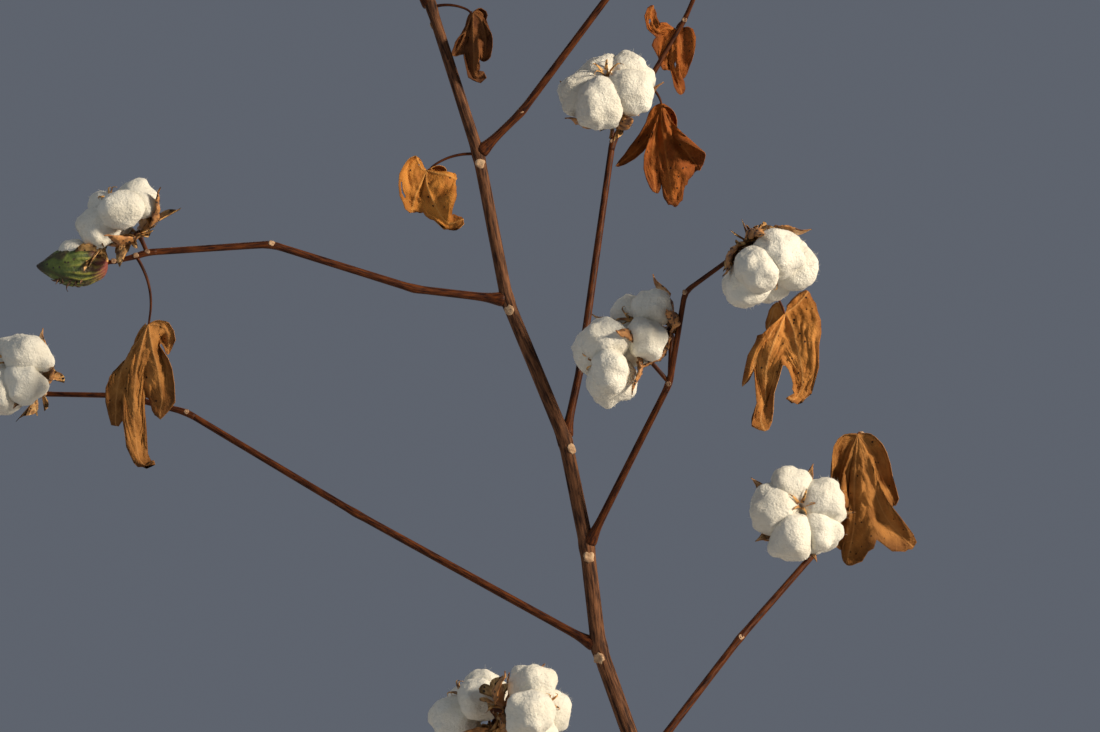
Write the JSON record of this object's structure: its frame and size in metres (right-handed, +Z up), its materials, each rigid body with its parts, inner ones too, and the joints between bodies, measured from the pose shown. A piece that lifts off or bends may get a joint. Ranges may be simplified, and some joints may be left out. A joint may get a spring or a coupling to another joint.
{
  "type": "cotton plant",
  "caption": "Whole woody cotton plant at picking time, with bare fruiting branches, open bolls of white lint, a green boll and a few hanging dried leaves.",
  "frame": {"origin": "middle of the flat cut under the main stem, at ground level", "axes": "+Z up the plant, +X to the plant's right-hand side as the picture shows it, +Y to its back, away from the camera"},
  "size_m": [0.9528, 0.4789, 1.2689],
  "materials": {
    "stem_bark": "warm grey-brown woody bark with fine lengthwise ridges, swollen nodes and pale leaf scars, matt",
    "branch_bark": "thin mahogany-brown bark, slightly glossy, with fine lengthwise wrinkles",
    "lint": "soft matt off-white fibre with a fuzzy edge",
    "husk": "dry brittle husk, orange-brown outside and pale tan inside, matt",
    "green_boll": "waxy olive green skin with red blush, streaks and dark specks",
    "dry_leaf": "thin curled dried leaf, orange-brown with paler veins and dark specks, matt"
  },
  "bodies": {
    "root": {"main_stem": "stem_bark", "back_bough": "branch_bark", "crown_back_bough": "branch_bark", "crown_left_bough": "branch_bark", "crown_right_back_bough": "branch_bark", "crown_right_front_bough": "branch_bark", "front_bough": "branch_bark", "left_bough": "branch_bark", "long_left_bough": "branch_bark", "low_back_bough": "branch_bark", "low_front_bough": "branch_bark", "low_right_bough": "branch_bark", "right_back_bough": "branch_bark", "right_bough": "branch_bark", "upper_back_bough": "branch_bark", "upper_front_bough": "branch_bark", "upper_right_bough": "branch_bark", "back_spray": "lint", "crown_back_spray": "lint", "crown_left_spray": "lint", "crown_right_back_spray": "lint", "crown_right_front_spray": "lint", "front_spray": "lint", "left_spray": "lint", "long_left_spray": "lint", "low_back_spray": "lint", "low_front_spray": "lint", "low_right_spray": "lint", "right_back_spray": "lint", "right_spray": "lint", "tip_spray": "lint", "upper_back_spray": "lint", "upper_front_spray": "lint", "upper_right_spray": "lint", "stem_leaf_1": "dry_leaf", "stem_leaf_2": "dry_leaf", "stem_leaf_3": "dry_leaf", "stem_leaf_4": "dry_leaf", "stem_leaf_5": "dry_leaf"}
  },
  "joints": []
}
